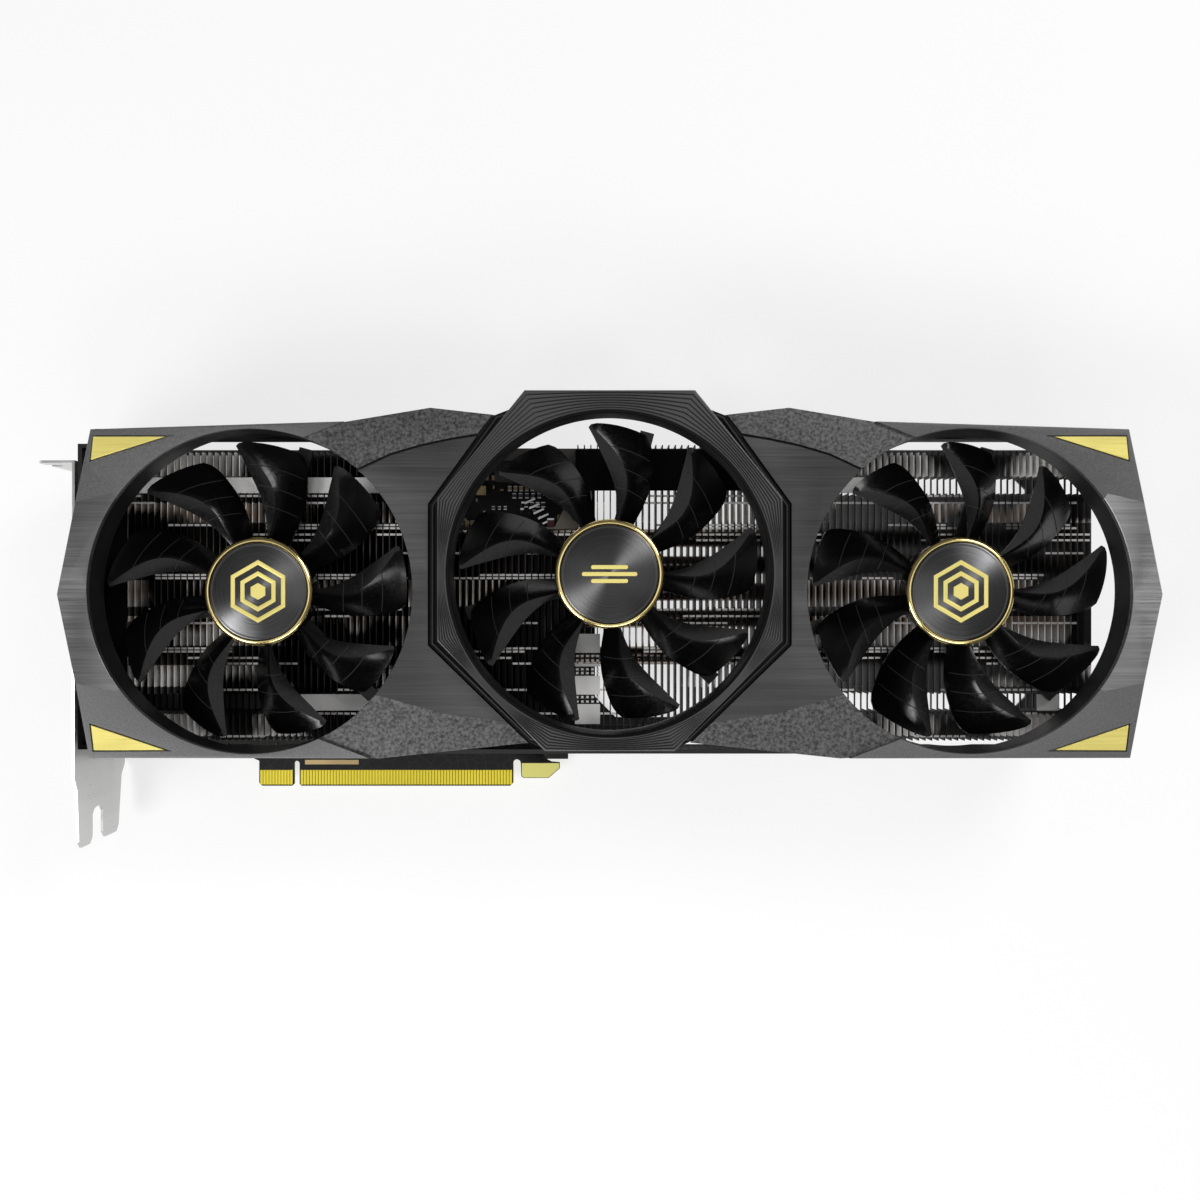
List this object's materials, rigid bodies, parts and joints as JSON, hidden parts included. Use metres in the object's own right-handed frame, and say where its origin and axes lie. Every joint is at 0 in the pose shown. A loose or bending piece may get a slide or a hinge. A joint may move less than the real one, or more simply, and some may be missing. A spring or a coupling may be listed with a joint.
{
  "type": "graphics card",
  "caption": "Desktop graphics card lying on its backplate: three spinning fans in a grey shroud with an octagonal centre bezel, slot bracket and edge connector.",
  "frame": {"origin": "centre of the bounding box footprint, at the backplate's outer face", "axes": "+Z out of the fan side, +X from the slot bracket to the free end, +Y away from the edge connector"},
  "size_m": [0.34, 0.1388, 0.054],
  "materials": {
    "backplate_black": "satin black paint on aluminium",
    "board_black": "black solder mask",
    "bracket_nickel": "nickel-plated steel",
    "port_shell": "plated steel shell",
    "socket_black": "moulded black",
    "substrate_green": "laminate",
    "die_silicon": "polished silicon",
    "chip_black": "moulded package",
    "choke_grey": "pressed powder",
    "nickel_copper": "nickel-plated copper",
    "fin_aluminium": "bare stamped aluminium",
    "shroud_black": "fine grained black",
    "cover_grey": "brushed and blasted grey",
    "bezel_charcoal": "charcoal satin",
    "inlay_gold": "pale brushed gold",
    "frame_black": "moulded black",
    "rotor_black": "glossy black",
    "cap_spun_metal": "circular spun dark metal",
    "ring_gold": "polished gold chamfer",
    "stator_steel": "laminations and windings",
    "shaft_steel": "ground steel",
    "screw_black": "black zinc"
  },
  "bodies": {
    "card": {"backplate": "backplate_black", "pcb": "board_black", "io_bracket": "bracket_nickel", "hdmi_port": "port_shell", "displayport_1": "port_shell", "displayport_2": "port_shell", "displayport_3": "port_shell", "power_socket": "socket_black", "gpu_substrate": "substrate_green", "gpu_die": "die_silicon", "memory_chip_1": "chip_black", "memory_chip_2": "chip_black", "memory_chip_3": "chip_black", "memory_chip_4": "chip_black", "memory_chip_5": "chip_black", "memory_chip_6": "chip_black", "power_choke_1": "choke_grey", "power_choke_2": "choke_grey", "power_choke_3": "choke_grey", "cold_plate": "nickel_copper", "heat_pipe_1": "nickel_copper", "heat_pipe_2": "nickel_copper", "heat_pipe_3": "nickel_copper", "heat_pipe_4": "nickel_copper", "heat_pipe_5": "nickel_copper", "fin_stack_left": "fin_aluminium", "fin_stack_middle": "fin_aluminium", "fin_stack_right": "fin_aluminium", "shroud_body": "shroud_black", "front_cover_left": "cover_grey", "front_cover_right": "cover_grey", "center_bezel": "bezel_charcoal", "corner_inlay_1": "inlay_gold", "corner_inlay_2": "inlay_gold", "corner_inlay_3": "inlay_gold", "corner_inlay_4": "inlay_gold", "fan_frame_left": "frame_black", "motor_stator_left": "stator_steel", "fan_frame_middle": "frame_black", "motor_stator_middle": "stator_steel", "fan_frame_right": "frame_black", "motor_stator_right": "stator_steel", "cooler_screw_1": "screw_black", "cooler_screw_2": "screw_black", "cooler_screw_3": "screw_black", "cooler_screw_4": "screw_black"},
    "fan_left": {"fan_rotor_left": "rotor_black", "hub_cap_left": "cap_spun_metal", "hub_ring_left": "ring_gold", "fan_shaft_left": "shaft_steel"},
    "fan_middle": {"fan_rotor_middle": "rotor_black", "hub_cap_middle": "cap_spun_metal", "hub_ring_middle": "ring_gold", "fan_shaft_middle": "shaft_steel"},
    "fan_right": {"fan_rotor_right": "rotor_black", "hub_cap_right": "cap_spun_metal", "hub_ring_right": "ring_gold", "fan_shaft_right": "shaft_steel"}
  },
  "joints": [
    {"name": "fan_left_spin", "type": "hinge", "parent": "card", "child": "fan_left", "pos_m": [-0.1016, 0.01035, 0.034], "axis": [0, 0, 1], "continuous": true},
    {"name": "fan_middle_spin", "type": "hinge", "parent": "card", "child": "fan_middle", "pos_m": [0.0056, 0.01555, 0.034], "axis": [0, 0, 1], "continuous": true},
    {"name": "fan_right_spin", "type": "hinge", "parent": "card", "child": "fan_right", "pos_m": [0.1128, 0.01035, 0.034], "axis": [0, 0, 1], "continuous": true}
  ]
}
